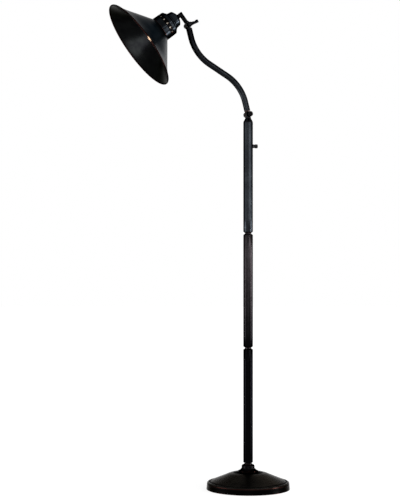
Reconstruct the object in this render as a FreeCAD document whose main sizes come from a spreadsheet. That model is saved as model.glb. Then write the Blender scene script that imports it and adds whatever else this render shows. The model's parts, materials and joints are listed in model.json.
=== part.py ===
import FreeCAD, Part
import Sketcher
import math
import os
import re

# Adjustable floor lamp: weighted round base, three-piece column, S-bent arm on a clamped knuckle and a
# wide spun shade on a second knuckle. Millimetres. +Z is up, the arm leans towards -X, both knuckles turn
# about Y and their clamps are on the -Y side. The origin is the middle of the base's underside.

doc = FreeCAD.newDocument("floor_lamp")
sheet = doc.addObject("Spreadsheet::Sheet", "Sizes")

sizes = {
    # Clearances and helpers
    "overrun": 2.0,
    "slip_gap": 0.05,
    "thread_slack": 0.05,
    "joint_gap": 0.1,
    "wire_bore": 3.6,
    # Base
    "pad_height": 3.0,
    "pad_inset": 6.0,
    "base_radius": 127.0,
    "foot_gap": 1.0,
    "cover_wall": 1.2,
    "wall_draft": 1.6,
    "wall_height": 17.5,
    "bead_width": 4.0,
    "bead_rise": 5.7,
    "groove_width": 4.5,
    "groove_fall": 0.6,
    "cove_width": 4.5,
    "cove_rise": 3.4,
    "skirt_run": 44.5,
    "skirt_rise": 18.2,
    "brow_run": 22.0,
    "brow_rise": 7.2,
    "crown_run": 16.0,
    "crown_rise": 3.8,
    "weight_gap": 4.5,
    "weight_edge_height": 14.0,
    "weight_dome_rise": 7.0,
    "weight_edge_chamfer": 2.0,
    "boss_radius": 18.0,
    "boss_taper": 3.0,
    "recess_radius": 20.0,
    "recess_height": 7.0,
    "channel_width": 9.0,
    "washer_radius": 17.0,
    "washer_height": 1.8,
    "nut_corner_radius": 9.8,
    "nut_height": 4.2,
    "rod_radius": 6.0,
    "rod_foot": 3.5,
    # Cord bushing
    "cord_bore": 3.3,
    "cord_height": 8.0,
    "bushing_radius": 5.0,
    "bushing_lip": 1.8,
    "bushing_face": 1.4,
    "bushing_tail": 4.0,
    # Collar
    "collar_foot_radius": 31.0,
    "collar_foot_edge": 1.2,
    "collar_waist_radius": 19.6,
    "collar_waist_height": 9.0,
    "collar_drum_height": 6.5,
    "collar_crown_radius": 12.9,
    "collar_crown_height": 5.2,
    "collar_neck_radius": 11.6,
    "collar_neck_height": 6.1,
    # Column
    "tube_radius": 14.6,
    "tube_wall": 1.5,
    "tube_length": 347.0,
    "top_tube_length": 337.3,
    "tube_end_radius": 10.0,
    "tube_taper": 4.0,
    "plug_depth": 16.0,
    "neck_radius": 9.4,
    "neck_length": 2.6,
    "stud_depth": 14.0,
    "cap_spigot": 10.0,
    "cap_edge": 1.0,
    "cap_rise": 11.2,
    "cap_end_radius": 8.6,
    # Rotary switch
    "switch_drop": 72.9,
    "switch_body_width": 16.4,
    "switch_body_length": 22.0,
    "switch_body_back": 7.0,
    "switch_body_front": 8.8,
    "switch_bush_radius": 4.9,
    "switch_bush_length": 6.4,
    "ring_nut_radius": 6.0,
    "ring_nut_height": 2.4,
    "switch_shaft_radius": 2.9,
    "switch_neck_radius": 5.2,
    "switch_neck_length": 4.4,
    "switch_knob_radius": 6.1,
    "switch_knob_length": 7.8,
    "switch_flute_radius": 1.0,
    "switch_flutes": 14,
    # Knuckles
    "pivot_rise": 11.8,
    "lug_radius": 8.5,
    "lug_thickness": 7.5,
    "lug_gap": 0.5,
    "lug_shoulder": 9.8,
    "lug_collar": 1.8,
    "lug_web_half": 6.4,
    "stem_radius": 5.0,
    "stem_length": 12.0,
    "washer_disc_radius": 8.5,
    "clamp_washer_height": 1.2,
    "clamp_gap": 0.2,
    "bolt_radius": 3.0,
    "bolt_head_radius": 8.4,
    "bolt_head_height": 16.8,
    "bolt_head_flat": 13.6,
    "bolt_end": 24.2,
    "clamp_knob_radius": 8.4,
    "clamp_knob_height": 16.6,
    "clamp_knob_edge": 1.3,
    "clamp_knob_face": 4.6,
    "clamp_face_depth": 1.6,
    "clamp_flute_radius": 1.7,
    "clamp_flutes": 10,
    "lever_hub_radius": 7.4,
    "lever_hub_height": 15.2,
    "lever_hub_edge": 1.2,
    "lever_angle": 22.0,
    "lever_length": 28.4,
    "lever_root_half": 3.6,
    "lever_blade_half": 3.0,
    "lever_tip_rise": 5.0,
    "lever_tip_length": 4.2,
    "lever_width": 6.0,
    "lever_seat": 5.2,
    # Arm
    "arm_radius": 9.25,
    "arm_wall": 1.4,
    "arm_lean": 14.1,
    "arm_mid_lean": 58.35,
    "arm_end_run": 38.0,
    "arm_bend_radius": 128.8,
    "arm_mid_run": 65.3,
    # Head
    "shade_drop": 36.4,
    "elbow_offset": 38.2,
    "elbow_radius": 6.4,
    "elbow_top": 6.6,
    "elbow_stub": 12.0,
    "nipple_radius": 5.0,
    "nipple_start": 3.6,
    "nipple_end": 31.0,
    "locknut_corner_radius": 7.4,
    "locknut_height": 3.6,
    "shell_wall": 1.2,
    "cap_back_radius": 8.6,
    "cap_shoulder_radius": 21.5,
    "cap_shoulder_run": 7.2,
    "cap_belt_radius": 24.6,
    "cap_belt_run": 5.0,
    "cap_waist_radius": 26.2,
    "cap_waist_run": 11.0,
    "cap_flare_run": 3.0,
    "cap_mouth_radius": 29.2,
    "cap_mouth_run": 15.8,
    "cap_skirt": 4.6,
    "collar_lip_width": 1.4,
    "collar_lip_rise": 1.6,
    "drum_radius": 37.4,
    "drum_shoulder_rise": 4.6,
    "drum_flare": 1.2,
    "drum_length": 36.0,
    "vent_radius": 2.9,
    "vent_place": 14.0,
    "vent_count": 15,
    "vent_phase": 5.0,
    "baffle_radius": 34.4,
    "baffle_wall": 0.8,
    "baffle_length": 25.0,
    "holder_start": 27.0,
    "holder_radius": 19.2,
    "holder_back": 11.0,
    "holder_length": 39.0,
    "holder_flange_radius": 22.4,
    "holder_flange_place": 20.0,
    "holder_flange_height": 3.0,
    "holder_neck_radius": 18.4,
    "screw_shell_bore": 13.3,
    "screw_shell_wall": 0.5,
    "screw_shell_lip": 10.0,
    "screw_shell_length": 21.7,
    "contact_well_radius": 9.0,
    "contact_radius": 4.0,
    "contact_rivet_radius": 1.6,
    "contact_height": 2.8,
    "terminal_head_radius": 2.8,
    "terminal_head_height": 2.2,
    "terminal_shank_radius": 1.5,
    "terminal_depth": 3.0,
    "terminal_place": 5.0,
    "ring_radius": 23.0,
    "ring_height": 5.0,
    "shade_wall": 1.0,
    "shade_neck_radius": 37.0,
    "shade_neck_length": 8.0,
    "shade_slope_run": 52.7,
    "shade_slope_spread": 65.4,
    "brim_run": 26.8,
    "brim_spread": 36.7,
    "rim_bead": 2.1,
}

# Shares: the radius of an arc over its chord, and the slant of the cone's wall.
bead_share = 0.74
cove_share = 1.05
brow_share = 3.2
flare_share = 0.78
crown_share = 0.72
cap_share = 0.95
brim_share = 6.7
wall_out_share = 0.63
wall_up_share = 0.78
seat_share = 0.7779
edge_share = 0.7072
roll_share = 0.5774
dome_share = 0.78

# Worked-out places, each a formula in the sheet
places = {
    "wall_radius": "base_radius - wall_draft",
    "wall_top": "wall_height",
    "bead_radius": "wall_radius - bead_width",
    "bead_top": "wall_top + bead_rise",
    "groove_radius": "bead_radius - groove_width",
    "groove_top": "bead_top - groove_fall",
    "skirt_radius": "groove_radius - cove_width",
    "skirt_foot": "groove_top + cove_rise",
    "brow_radius": "skirt_radius - skirt_run",
    "brow_foot": "skirt_foot + skirt_rise",
    "crown_radius": "brow_radius - brow_run",
    "crown_foot": "brow_foot + brow_rise",
    "hub_radius": "crown_radius - crown_run",
    "hub_top": "crown_foot + crown_rise",
    "hub_under": "hub_top - cover_wall",
    "rod_hole": "rod_radius + thread_slack",
    "weight_radius": "base_radius - cover_wall - weight_gap",
    "weight_edge_top": "pad_height + weight_edge_height",
    "weight_dome_top": "weight_edge_top + weight_dome_rise",
    "recess_top": "pad_height + recess_height",
    "base_nut_foot": "recess_top - washer_height - nut_height",
    "collar_waist_foot": "hub_top + collar_waist_height",
    "collar_drum_top": "collar_waist_foot + collar_drum_height",
    "collar_crown_top": "collar_drum_top + collar_crown_height",
    "column_foot": "collar_crown_top + collar_neck_height",
    "middle_foot": "column_foot + tube_length + neck_length",
    "upper_foot": "middle_foot + tube_length + neck_length",
    "cap_foot": "upper_foot + top_tube_length",
    "pivot_height": "cap_foot + cap_edge + cap_rise + pivot_rise",
    "bolt_hole": "bolt_radius + slip_gap",
    "stem_hole": "stem_radius + thread_slack",
    "lug_face": "lug_gap + lug_thickness",
    "clamp_seat": "lug_face + clamp_washer_height",
    "arm_bore": "arm_radius - arm_wall",
    "arm_start": "lug_shoulder + lug_collar",
    "arm_bend": "arm_mid_lean - arm_lean",
    "arm_straight": "arm_end_run - arm_start",
    "arm_swing": "arm_bend_radius * (1 - cos(arm_bend))",
    "arm_climb": "arm_bend_radius * sin(arm_bend)",
    "arm_across": "arm_bend_radius * (cos(arm_lean) - cos(arm_mid_lean))",
    "arm_upward": "arm_bend_radius * (sin(arm_mid_lean) - sin(arm_lean))",
    "reach": "2 * arm_end_run * sin(arm_lean) + 2 * arm_across + arm_mid_run * sin(arm_mid_lean)",
    "rise": "2 * arm_end_run * cos(arm_lean) + 2 * arm_upward + arm_mid_run * cos(arm_mid_lean)",
    "tilt_height": "pivot_height + rise",
    "head_out": "reach + elbow_offset * sin(shade_drop)",
    "head_up": "tilt_height + elbow_offset * cos(shade_drop)",
    "nipple_hole": "nipple_radius + thread_slack",
    "cap_start": "elbow_stub",
    "cap_shoulder": "cap_start + cap_shoulder_run",
    "cap_belt": "cap_shoulder + cap_belt_run",
    "cap_waist": "cap_belt + cap_waist_run",
    "cap_flare": "cap_waist + cap_flare_run",
    "cap_mouth": "cap_belt + cap_mouth_run",
    "cap_end": "cap_mouth + cap_skirt",
    "collar_bore": "cap_mouth_radius + slip_gap",
    "collar_lip": "cap_mouth + collar_lip_rise",
    "drum_top": "collar_lip + drum_shoulder_rise",
    "drum_end": "drum_top + drum_length",
    "drum_end_radius": "drum_radius + drum_flare",
    "vent_height": "drum_top + vent_place",
    "holder_seat": "holder_start + holder_flange_place",
    "baffle_seat": "holder_seat + holder_flange_height",
    "baffle_end": "baffle_seat + baffle_length",
    "holder_end": "holder_start + holder_length",
    "holder_floor": "holder_start + holder_back",
    "shell_seat": "holder_floor + contact_height + screw_shell_wall",
    "ring_foot": "baffle_seat + baffle_wall",
    "shell_outer": "screw_shell_bore + screw_shell_wall",
    "holder_bore": "shell_outer + slip_gap",
    "terminal_height": "holder_start + terminal_place",
    "neck_top": "drum_end - shade_neck_length",
    "cone_start": "drum_end + joint_gap",
    "cone_radius": "drum_end_radius",
    "cone_end": "cone_start + shade_slope_run",
    "cone_end_radius": "cone_radius + shade_slope_spread",
    "rim_place": "cone_end + brim_run",
    "rim_middle": "cone_end_radius + brim_spread",
}


for row, (alias, entry) in enumerate(sizes.items(), start=1):
    sheet.set(f"A{row}", alias.replace("_", " "))
    sheet.set(f"B{row}", str(entry))
    sheet.setAlias(f"B{row}", alias)
for row, (alias, entry) in enumerate(places.items(), start=1):
    sheet.set(f"D{row}", alias.replace("_", " "))
    sheet.set(f"E{row}", "=" + entry)
    sheet.setAlias(f"E{row}", alias)
doc.recompute()
readout = "G1"


def formula(text):
    """Point every size and place named in a formula at its cell in the sheet."""
    def swap(match):
        word = match.group(0)
        return "Sizes." + word if word in sizes or word in places else word
    return re.sub(r"[a-z_]+", swap, text)


def number(text):
    """What a formula comes to, read from a spare cell of the sheet."""
    sheet.set(readout, "=" + text)
    sheet.recompute()
    return float(sheet.get(readout))


def origin_plane(body, role):
    return next(feature for feature in body.Origin.OriginFeatures if feature.Role == role)


def new_body(name):
    body = doc.addObject("PartDesign::Body", name)
    body.Label = name
    return body


def new_sketch(body, name, role):
    sketch = body.newObject("Sketcher::SketchObject", body.Name + "_" + name)
    sketch.AttachmentSupport = [(origin_plane(body, role), "")]
    sketch.MapMode = "FlatFace"
    return sketch


def pin_point(sketch, edge, end, across, up):
    """Tie one end of an edge to its place, each coordinate by its own formula."""
    spot = (number(across), number(up))
    for kind, value, text in (("DistanceX", spot[0], across), ("DistanceY", spot[1], up)):
        if text == "0":
            axis = -2 if kind == "DistanceX" else -1
            sketch.addConstraint(Sketcher.Constraint("PointOnObject", edge, end, axis))
            continue
        index = sketch.addConstraint(Sketcher.Constraint(kind, edge, end, value))
        sketch.setExpression(f"Constraints[{index}]", formula(text))


def draw(sketch, outline, closed=True):
    """Lines and arcs through the outline's points. A third entry is the share of the arc to the next
    point, as a number or a formula: positive bulges to the right of the way along, negative to the left."""
    count = len(outline)
    spots = [(number(point[0]), number(point[1])) for point in outline]
    joints = []
    for index in range(count if closed else count - 1):
        after = (index + 1) % count
        start = FreeCAD.Vector(*spots[index], 0)
        end = FreeCAD.Vector(*spots[after], 0)
        if len(outline[index]) == 2:
            edge = sketch.addGeometry(Part.LineSegment(start, end), False)
            joints.append((edge, 1, 2))
            continue
        share = number(str(outline[index][2]))
        chord = end - start
        radius = chord.Length * abs(share)
        middle = (start + end) * 0.5
        left = FreeCAD.Vector(-chord.y, chord.x, 0).normalize()
        depth = math.sqrt(radius * radius - chord.Length * chord.Length / 4)
        centre = middle + left * math.copysign(depth, share)
        first = start if share > 0 else end
        last = end if share > 0 else start
        from_angle = math.atan2(first.y - centre.y, first.x - centre.x)
        to_angle = math.atan2(last.y - centre.y, last.x - centre.x)
        circle = Part.Circle(centre, FreeCAD.Vector(0, 0, 1), radius)
        edge = sketch.addGeometry(Part.ArcOfCircle(circle, from_angle, to_angle), False)
        joints.append((edge, 1, 2) if share > 0 else (edge, 2, 1))
        run = f"({outline[after][0]}) - ({outline[index][0]})"
        climb = f"({outline[after][1]}) - ({outline[index][1]})"
        length = f"sqrt(({run}) * ({run}) + ({climb}) * ({climb}))"
        bound = sketch.addConstraint(Sketcher.Constraint("Radius", edge, radius))
        sketch.setExpression(f"Constraints[{bound}]", formula(f"{length} * abs({outline[index][2]})"))
    for index, (edge, start_end, finish_end) in enumerate(joints):
        pin_point(sketch, edge, start_end, outline[index][0], outline[index][1])
        after = index + 1
        if after < len(joints) or closed:
            other = joints[after % len(joints)]
            sketch.addConstraint(Sketcher.Constraint("Coincident", edge, finish_end, other[0], other[1]))
        else:
            pin_point(sketch, edge, finish_end, outline[-1][0], outline[-1][1])


def draw_circle(sketch, across, up, radius):
    spot = FreeCAD.Vector(number(across), number(up), 0)
    circle = Part.Circle(spot, FreeCAD.Vector(0, 0, 1), number(radius))
    edge = sketch.addGeometry(circle, False)
    pin_point(sketch, edge, 3, across, up)
    bound = sketch.addConstraint(Sketcher.Constraint("Radius", edge, number(radius)))
    sketch.setExpression(f"Constraints[{bound}]", formula(radius))


def turn_outline(body, outline, name="Outline"):
    """A solid of revolution about the body's own Z axis. Outline points are (radius, height)."""
    sketch = new_sketch(body, name, "XZ_Plane")
    draw(sketch, outline)
    turned = body.newObject("PartDesign::Revolution", body.Name + "_Turned")
    turned.Profile = (sketch, [""])
    turned.ReferenceAxis = (sketch, ["V_Axis"])
    turned.Angle = 360
    return turned


def tube_outline(inner, outer, foot, top):
    return [(inner, foot), (outer, foot), (outer, top), (inner, top)]


# Seats: where a piece's own frame lies in the lamp. Each is a turn about an axis and a place.
x_turn = FreeCAD.Vector(1, 0, 0)
y_turn = FreeCAD.Vector(0, 1, 0)
z_turn = FreeCAD.Vector(0, 0, 1)
quarter_turn = 90.0
seats = {
    "floor": None,
    "cord": (x_turn, "-90", "0", "base_radius", "cord_height"),
    "switch": (y_turn, "90", "0", "0", "cap_foot - switch_drop"),
    "lower_axis": (x_turn, "90", "0", "0", "pivot_height"),
    "upper_axis": (x_turn, "90", "-(reach)", "0", "tilt_height"),
    "column_lug": (x_turn, "180", "0", "0", "pivot_height"),
    "arm_lug": (y_turn, "-(arm_lean)", "0", "0", "pivot_height"),
    "arm_top_lug": (y_turn, "180 - arm_lean", "-(reach)", "0", "tilt_height"),
    "arm": (y_turn, "-(arm_lean)", "-(arm_start) * sin(arm_lean)", "0",
            "pivot_height + arm_start * cos(arm_lean)"),
    "head": (y_turn, "-(90 + shade_drop)", "-(head_out)", "0", "head_up"),
}
finished = []


def seat(piece, name, where):
    """Give a finished piece its name and put it in its seat."""
    piece.Label = name
    if seats[where]:
        axis, angle, across, along, up = seats[where]
        turn = FreeCAD.Rotation(axis, number(angle))
        spot = FreeCAD.Vector(number(across), number(along), number(up))
        piece.Placement = FreeCAD.Placement(spot, turn)
        piece.setExpression(".Placement.Rotation.Angle", formula(angle))
        for letter, text in (("x", across), ("y", along), ("z", up)):
            if text != "0":
                piece.setExpression(f".Placement.Base.{letter}", formula(text))
    finished.append(piece)
    return piece


def turned(name, outline, where="floor"):
    body = new_body(name)
    turn_outline(body, outline)
    return seat(body, name, where)


def primitive(kind, name, sizes_of, spot=("0", "0", "0"), turn=None):
    """A Part primitive whose sizes and place are bound to the sheet."""
    shape = doc.addObject("Part::" + kind, name)
    for key, text in sizes_of.items():
        shape.setExpression(key, formula(text))
    if turn:
        axis, angle = turn
        shape.Placement = FreeCAD.Placement(FreeCAD.Vector(), FreeCAD.Rotation(axis, angle))
    for letter, text in zip("xyz", spot):
        if text != "0":
            shape.setExpression(f".Placement.Base.{letter}", formula(text))
    return shape


def cylinder(name, radius, height, spot=("0", "0", "0"), turn=None):
    return primitive("Cylinder", name, {"Radius": radius, "Height": height}, spot, turn)


def fuse(name, shapes):
    joined = doc.addObject("Part::MultiFuse", name)
    joined.Shapes = shapes
    joined.Refine = True
    return joined


def cut(name, base, tool):
    rest = doc.addObject("Part::Cut", name)
    rest.Base = base
    rest.Tool = tool
    return rest


def hex_nut(name, corner_radius, hole, height, foot, where):
    """A hexagon nut with its thread bore."""
    prism = doc.addObject("Part::Prism", name + "_hexagon")
    prism.Polygon = 6
    prism.setExpression("Circumradius", formula(corner_radius))
    prism.setExpression("Height", formula(height))
    prism.setExpression(".Placement.Base.z", formula(foot))
    drill = cylinder(name + "_drill", hole, f"{height} + 2 * overrun", ("0", "0", f"{foot} - overrun"))
    return seat(cut(name, prism, drill), name, where)


def polar_cut(body, sketch, length, count, reverse=False):
    """Cut a sketch out of a body and repeat the cut round its Z axis."""
    pocket = body.newObject("PartDesign::Pocket", body.Name + "_Cut")
    pocket.Profile = (sketch, [""])
    pocket.setExpression("Length", formula(length))
    pocket.Reversed = reverse
    pattern = body.newObject("PartDesign::PolarPattern", body.Name + "_Round")
    pattern.Originals = [pocket]
    axis = next(feature for feature in body.Origin.OriginFeatures if feature.Role == "Z_Axis")
    pattern.Axis = (axis, [""])
    pattern.Angle = 360
    pattern.setExpression("Occurrences", formula(count))
    body.Tip = pattern
    return pattern


# Base
def make_felt_pad():
    turned("felt_pad", [("0", "0"), ("base_radius - pad_inset", "0"),
                        ("base_radius - pad_inset", "pad_height"), ("0", "pad_height")])


def make_base_cover():
    """Spun steel cover: upright wall, rolled bead, cove, skirt, brow and a flat hub under the collar."""
    cover = new_body("base_cover_shell")
    turn_outline(cover, [
        ("base_radius - cover_wall", "foot_gap"),
        ("base_radius", "foot_gap"),
        ("wall_radius", "wall_top", bead_share),
        ("bead_radius", "bead_top", brow_share),
        ("groove_radius", "groove_top", -cove_share),
        ("skirt_radius", "skirt_foot"),
        ("brow_radius", "brow_foot", brow_share),
        ("crown_radius", "crown_foot"),
        ("hub_radius", "hub_top"),
        ("rod_hole", "hub_top"),
        ("rod_hole", "hub_under"),
        ("hub_radius", "hub_under"),
        ("crown_radius", "crown_foot - cover_wall", -brow_share),
        ("brow_radius", "brow_foot - cover_wall"),
        ("skirt_radius", "skirt_foot - cover_wall", cove_share),
        ("groove_radius", "groove_top - cover_wall", -brow_share),
        ("bead_radius", "bead_top - cover_wall", -bead_share),
        ("wall_radius - cover_wall", "wall_top"),
    ])
    hole = cylinder("base_cover_cord_hole", "bushing_radius + joint_gap", "weight_gap + cover_wall + overrun",
                    ("0", "weight_radius", "cord_height"), (x_turn, -quarter_turn))
    seat(cut("base_cover", cover, hole), "base_cover", "floor")


def make_base_weight():
    """Cast disc with a boss that carries the cover's hub, a nut recess and a cord channel below."""
    casting = new_body("base_weight_casting")
    turn_outline(casting, [
        ("recess_radius", "pad_height"),
        ("weight_radius - weight_edge_chamfer", "pad_height"),
        ("weight_radius", "pad_height + weight_edge_chamfer"),
        ("weight_radius", "weight_edge_top - weight_edge_chamfer"),
        ("weight_radius - weight_edge_chamfer", "weight_edge_top"),
        ("boss_radius", "weight_dome_top"),
        ("boss_radius - boss_taper", "hub_under"),
        ("rod_hole", "hub_under"),
        ("rod_hole", "recess_top"),
        ("recess_radius", "recess_top"),
    ])
    channel = primitive("Box", "base_weight_channel",
                        {"Length": "channel_width", "Width": "base_radius", "Height": "recess_height + overrun"},
                        ("-(channel_width) / 2", "0", "pad_height - overrun"))
    seat(cut("base_weight", casting, channel), "base_weight", "floor")


def make_base_fastening():
    turned("base_washer", tube_outline("rod_hole", "washer_radius", "recess_top - washer_height", "recess_top"))
    hex_nut("base_nut", "nut_corner_radius", "rod_hole", "nut_height", "base_nut_foot", "floor")
    turned("base_rod", tube_outline("wire_bore", "rod_radius", "rod_foot", "column_foot + stud_depth"))


def make_cord_bushing():
    """Rubber bushing in the base wall: the groove between its two lips holds the wall."""
    turned("cord_bushing", [
        ("cord_bore", "-(bushing_tail)"),
        ("bushing_radius + bushing_lip", "-(bushing_tail)"),
        ("bushing_radius + bushing_lip", "-(wall_draft) - cover_wall - joint_gap"),
        ("bushing_radius", "-(wall_draft) - cover_wall - joint_gap"),
        ("bushing_radius", "joint_gap"),
        ("bushing_radius + bushing_lip", "joint_gap"),
        ("bushing_radius + bushing_lip - bushing_face / 2", "bushing_face"),
        ("cord_bore", "bushing_face"),
    ], "cord")


def make_base_collar():
    turned("base_collar", [
        ("rod_hole", "hub_top"),
        ("collar_foot_radius", "hub_top"),
        ("collar_foot_radius", "hub_top + collar_foot_edge", -flare_share),
        ("collar_waist_radius", "collar_waist_foot"),
        ("collar_waist_radius", "collar_drum_top", crown_share),
        ("collar_crown_radius", "collar_crown_top"),
        ("collar_neck_radius", "collar_crown_top"),
        ("collar_neck_radius", "column_foot"),
        ("rod_hole", "column_foot"),
    ])


# Column
def column_tube_outline(foot, top):
    """Tube with both ends drawn in and a threaded plug in each end."""
    bore = "tube_radius - tube_wall"
    return [
        ("rod_hole", foot),
        ("tube_end_radius", foot),
        ("tube_radius", f"{foot} + tube_taper"),
        ("tube_radius", f"{top} - tube_taper"),
        ("tube_end_radius", top),
        ("rod_hole", top),
        ("rod_hole", f"{top} - plug_depth"),
        (bore, f"{top} - plug_depth"),
        (bore, f"{foot} + plug_depth"),
        ("rod_hole", f"{foot} + plug_depth"),
    ]


def make_column():
    turned("lower_tube", column_tube_outline("column_foot", "column_foot + tube_length"))
    turned("middle_tube", column_tube_outline("middle_foot", "middle_foot + tube_length"))
    for name, top in (("lower_coupler", "middle_foot"), ("upper_coupler", "upper_foot")):
        foot = f"{top} - neck_length"
        turned(name, [
            ("wire_bore", f"{foot} - stud_depth"),
            ("rod_radius", f"{foot} - stud_depth"),
            ("rod_radius", foot),
            ("neck_radius", foot),
            ("neck_radius", top),
            ("rod_radius", top),
            ("rod_radius", f"{top} + stud_depth"),
            ("wire_bore", f"{top} + stud_depth"),
        ])
    bore = "tube_radius - tube_wall"
    tube = new_body("upper_tube_blank")
    turn_outline(tube, [
        ("rod_hole", "upper_foot"),
        ("tube_end_radius", "upper_foot"),
        ("tube_radius", "upper_foot + tube_taper"),
        ("tube_radius", "cap_foot"),
        (bore, "cap_foot"),
        (bore, "upper_foot + plug_depth"),
        ("rod_hole", "upper_foot + plug_depth"),
    ])
    hole = cylinder("upper_tube_switch_hole", "switch_bush_radius + joint_gap", "tube_radius + overrun",
                    ("0", "0", "cap_foot - switch_drop"), (y_turn, quarter_turn))
    seat(cut("upper_tube", tube, hole), "upper_tube", "floor")
    turned("column_cap", [
        ("stem_hole", "cap_foot - cap_spigot"),
        (f"{bore} - slip_gap", "cap_foot - cap_spigot"),
        (f"{bore} - slip_gap", "cap_foot"),
        ("tube_radius", "cap_foot"),
        ("tube_radius", "cap_foot + cap_edge"),
        ("cap_end_radius", "cap_foot + cap_edge + cap_rise"),
        ("stem_hole", "cap_foot + cap_edge + cap_rise"),
    ])


# Rotary switch
def make_switch():
    block = primitive("Box", "switch_block", {
        "Length": "switch_body_length", "Width": "switch_body_width",
        "Height": "switch_body_back + switch_body_front",
    }, ("-(switch_body_length) / 2", "-(switch_body_width) / 2", "-(switch_body_back)"))
    bush = cylinder("switch_bush", "switch_bush_radius", "tube_radius + switch_bush_length")
    drill = cylinder("switch_drill", "switch_shaft_radius + slip_gap", "tube_radius + switch_bush_length + overrun")
    seat(cut("switch_body", fuse("switch_solid", [block, bush]), drill), "switch_body", "switch")
    turned("switch_ring_nut", tube_outline("switch_bush_radius + thread_slack", "ring_nut_radius",
                                           "tube_radius + joint_gap",
                                           "tube_radius + joint_gap + ring_nut_height"), "switch")
    skirt = "tube_radius + ring_nut_height + joint_gap + clamp_gap"
    face = f"{skirt} + switch_neck_length"
    end = f"{face} + switch_knob_length"
    bush_end = "tube_radius + switch_bush_length + clamp_gap"
    knob = new_body("switch_knob")
    turn_outline(knob, [
        ("0", "joint_gap"),
        ("switch_shaft_radius", "joint_gap"),
        ("switch_shaft_radius", bush_end),
        ("switch_bush_radius + joint_gap", bush_end),
        ("switch_bush_radius + joint_gap", skirt),
        ("switch_neck_radius", skirt),
        ("switch_neck_radius", face),
        ("switch_knob_radius", face),
        ("switch_knob_radius", f"{end} - switch_flute_radius", edge_share),
        ("switch_knob_radius - switch_flute_radius", end),
        ("0", end),
    ])
    flute = new_sketch(knob, "Flute", "XY_Plane")
    flute.AttachmentOffset = FreeCAD.Placement(FreeCAD.Vector(0, 0, number(face)), FreeCAD.Rotation())
    flute.setExpression(".AttachmentOffset.Base.z", formula(face))
    draw_circle(flute, "switch_knob_radius + switch_flute_radius / 2", "0", "switch_flute_radius")
    polar_cut(knob, flute, "switch_knob_length + overrun", "switch_flutes", reverse=True)
    seat(knob, "switch_knob", "switch")


# Knuckles
def make_lug(name, hole, stem_radius, stem_length, where):
    """Half-lapped lug: a disc about Y on one side of the joint, and a stem along its own +Z."""
    disc = cylinder(name + "_disc", "lug_radius", "lug_thickness", ("0", "lug_gap", "0"),
                    (x_turn, -quarter_turn))
    web_block = primitive("Box", name + "_web_block", {
        "Length": "2 * lug_web_half", "Width": "lug_thickness", "Height": "lug_shoulder + lug_collar",
    }, ("-(lug_web_half)", "lug_gap", "0"))
    web_round = cylinder(name + "_web_round", "arm_radius", "lug_shoulder + lug_collar")
    web = doc.addObject("Part::Common", name + "_web")
    web.Base = web_block
    web.Tool = web_round
    collar = cylinder(name + "_collar", "arm_radius", "lug_collar", ("0", "0", "lug_shoulder"))
    stem = cylinder(name + "_stem", stem_radius, f"lug_collar + {stem_length}", ("0", "0", "lug_shoulder"))
    drill = cylinder(name + "_drill", hole, "lug_face + 2 * overrun", ("0", "-(overrun)", "0"),
                     (x_turn, -quarter_turn))
    seat(cut(name, fuse(name + "_solid", [disc, web, collar, stem]), drill), name, where)


def make_clamp_bolt(name, where):
    """Domed head on the far side, plain shank towards the clamp."""
    turned(name, [
        ("0", "-(clamp_seat) - bolt_head_height"),
        ("bolt_radius", "-(clamp_seat) - bolt_head_height", dome_share),
        ("bolt_head_radius", "-(clamp_seat) - bolt_head_flat"),
        ("bolt_head_radius", "-(clamp_seat)"),
        ("bolt_radius", "-(clamp_seat)"),
        ("bolt_radius", "bolt_end"),
        ("0", "bolt_end"),
    ], where)


def make_washer(name, foot, height, hole, where):
    turned(name, tube_outline(hole, "washer_disc_radius", foot, f"{foot} + {height}"), where)


def make_knuckle_hardware():
    free_hole = "bolt_radius + clamp_gap"
    disc_height = "2 * lug_gap - joint_gap"
    for prefix, where in (("lower", "lower_axis"), ("upper", "upper_axis")):
        make_clamp_bolt(prefix + "_clamp_bolt", where)
        make_washer(prefix + "_head_washer", "-(clamp_seat)", "clamp_washer_height", free_hole, where)
        make_washer(prefix + "_friction_disc", "-(lug_gap) + joint_gap", disc_height, free_hole, where)
        make_washer(prefix + "_clamp_washer", "lug_face", "clamp_washer_height", free_hole, where)


def make_clamp_knob():
    """Fluted thumb knob with a sunk face that shows the bolt's end."""
    foot = "clamp_seat + clamp_gap"
    top = f"{foot} + clamp_knob_height"
    knob = new_body("clamp_knob")
    turn_outline(knob, [
        ("bolt_hole", foot),
        ("clamp_knob_radius - clamp_knob_edge", foot),
        ("clamp_knob_radius", f"{foot} + clamp_knob_edge"),
        ("clamp_knob_radius", f"{top} - clamp_knob_edge"),
        ("clamp_knob_radius - clamp_knob_edge", top),
        ("clamp_knob_face", top),
        ("clamp_knob_face", f"{top} - clamp_face_depth"),
        ("bolt_hole", f"{top} - clamp_face_depth"),
    ])
    flute = new_sketch(knob, "Flute", "XY_Plane")
    flute.AttachmentOffset = FreeCAD.Placement(FreeCAD.Vector(0, 0, number(foot)), FreeCAD.Rotation())
    flute.setExpression(".AttachmentOffset.Base.z", formula(f"{foot} - overrun"))
    draw_circle(flute, "clamp_knob_radius + clamp_flute_radius / 2", "0", "clamp_flute_radius")
    polar_cut(knob, flute, "clamp_knob_height + 2 * overrun", "clamp_flutes", reverse=True)
    seat(knob, "clamp_knob", "lower_axis")


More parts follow.
